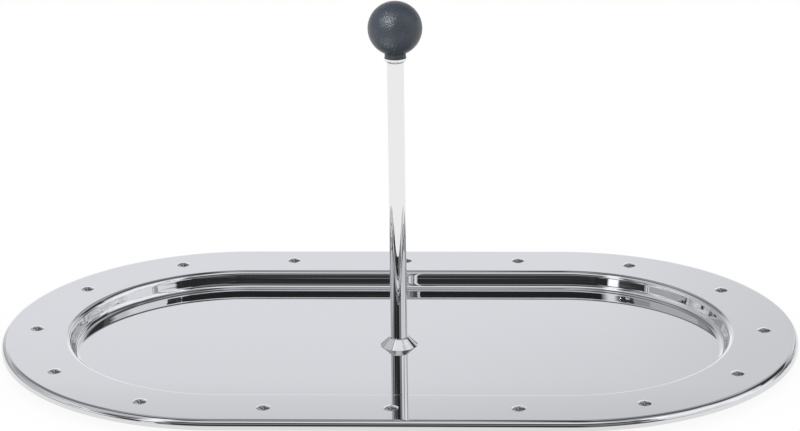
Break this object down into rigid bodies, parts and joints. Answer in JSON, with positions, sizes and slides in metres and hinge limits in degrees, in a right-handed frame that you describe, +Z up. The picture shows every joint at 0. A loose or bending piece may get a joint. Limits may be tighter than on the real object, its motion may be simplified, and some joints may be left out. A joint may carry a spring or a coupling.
{
  "type": "serving tray with centre handle",
  "caption": "Obround polished steel serving tray with one shallow well, a wide flat rim with raised pips and an upright centre post that ends in a ball knob for carrying.",
  "frame": {"origin": "on the surface the tray stands on, under the middle of the tray and the post's axis", "axes": "+X along the tray's length, +Y across it to the back, +Z up along the post"},
  "size_m": [0.42, 0.246, 0.1884],
  "materials": {
    "polished_steel": "mirror-polished stainless steel",
    "matte_knob": "fine-grained matte, dark blue-grey",
    "plain_steel": "plain stainless steel"
  },
  "bodies": {
    "root": {"tray": "polished_steel", "post": "polished_steel", "top_ferrule": "polished_steel", "ball_knob": "matte_knob", "fixing_screw": "plain_steel", "spring_washer": "plain_steel"}
  },
  "joints": []
}
